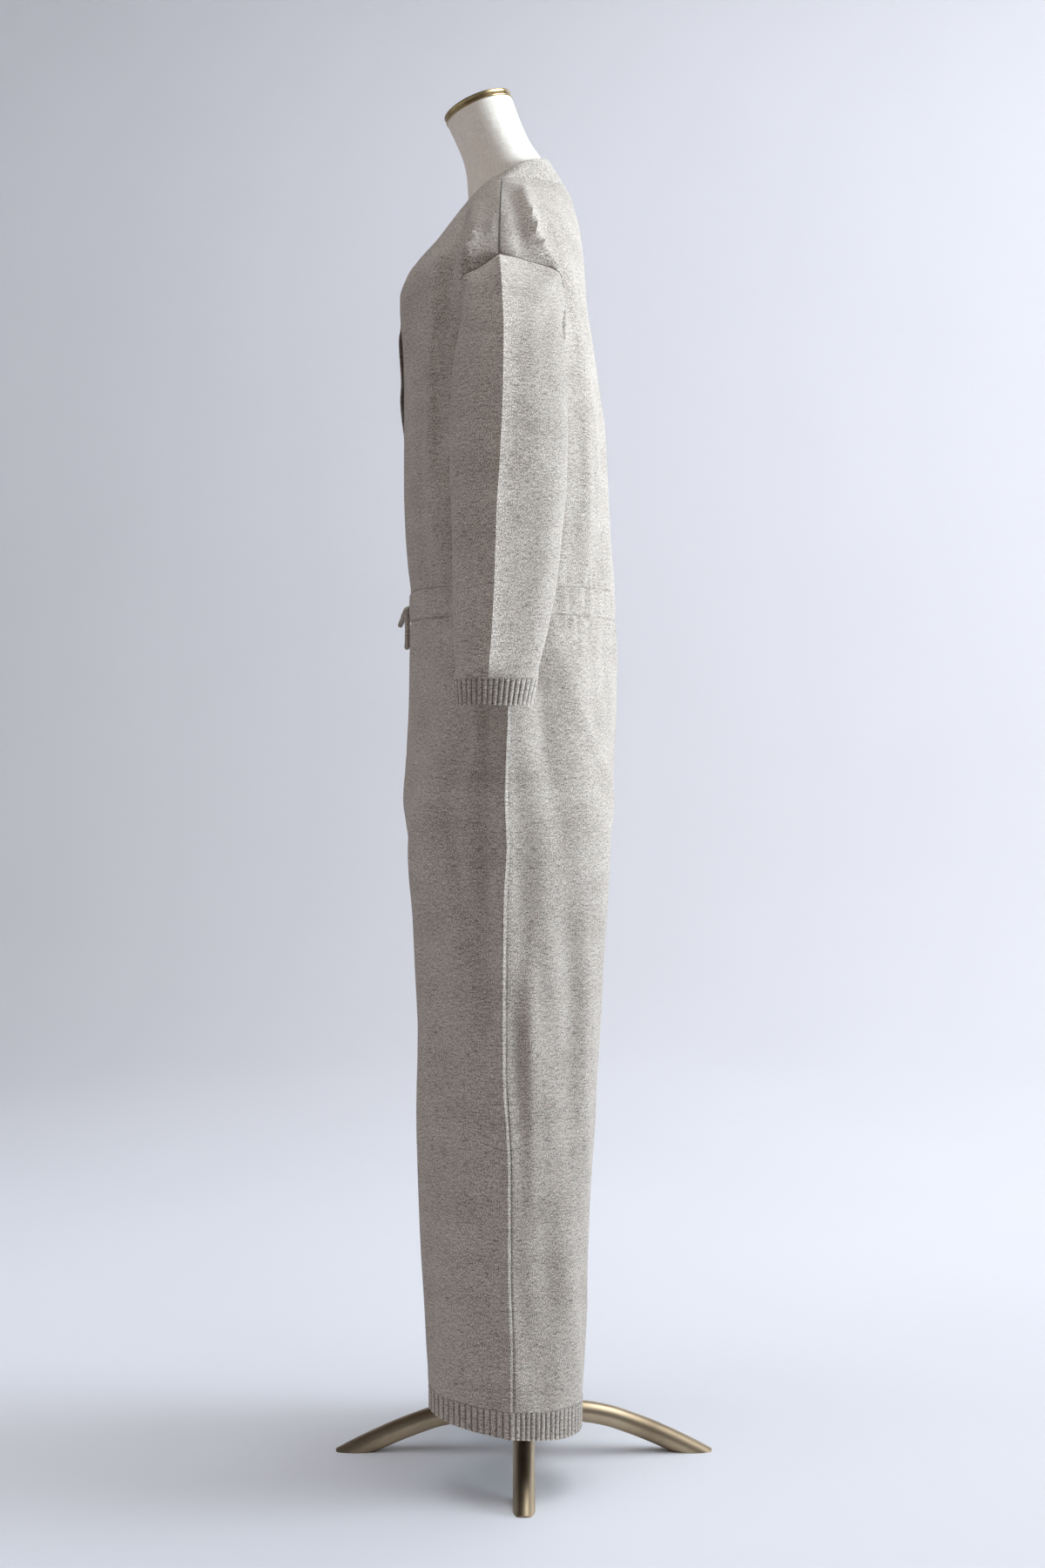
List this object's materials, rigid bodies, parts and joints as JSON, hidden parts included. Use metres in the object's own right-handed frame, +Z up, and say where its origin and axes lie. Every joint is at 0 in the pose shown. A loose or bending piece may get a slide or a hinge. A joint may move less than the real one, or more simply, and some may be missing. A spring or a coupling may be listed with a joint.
{
  "type": "knitted jumpsuit on a limbless dress form with stand",
  "caption": "Long-sleeved knitted jumpsuit with V neck, lapped front, drawstring waist and ribbed cuffs and hems, on a limbless dress form with a capped neck and a curved-leg stand.",
  "frame": {"origin": "on the floor, under the middle of the stand's pole", "axes": "+Z up, the front of the garment faces -Y, the wearer's left is +X"},
  "size_m": [0.5852, 0.4312, 1.557],
  "materials": {
    "heather_knit": "fine-gauge milled wool knit, heathered",
    "linen": "plain woven linen",
    "brass": "polished",
    "antique_brass": "aged, satin"
  },
  "bodies": {
    "root": {"bodice_back": "heather_knit", "bodice_front_left": "heather_knit", "bodice_front_right": "heather_knit", "neck_band_left": "heather_knit", "neck_band_right": "heather_knit", "waist_casing_front": "heather_knit", "waist_casing_back": "heather_knit", "drawstring_left": "heather_knit", "drawstring_right": "heather_knit", "trouser_front_left": "heather_knit", "trouser_front_right": "heather_knit", "trouser_back_left": "heather_knit", "trouser_back_right": "heather_knit", "hem_rib_left": "heather_knit", "hem_rib_right": "heather_knit", "sleeve_left": "heather_knit", "sleeve_right": "heather_knit", "cuff_rib_left": "heather_knit", "cuff_rib_right": "heather_knit", "form_body": "linen", "neck_cap": "brass", "pole": "antique_brass", "hub": "antique_brass", "stand_leg_left": "antique_brass", "stand_leg_back": "antique_brass", "stand_leg_right": "antique_brass", "stand_leg_front": "antique_brass"}
  },
  "joints": []
}
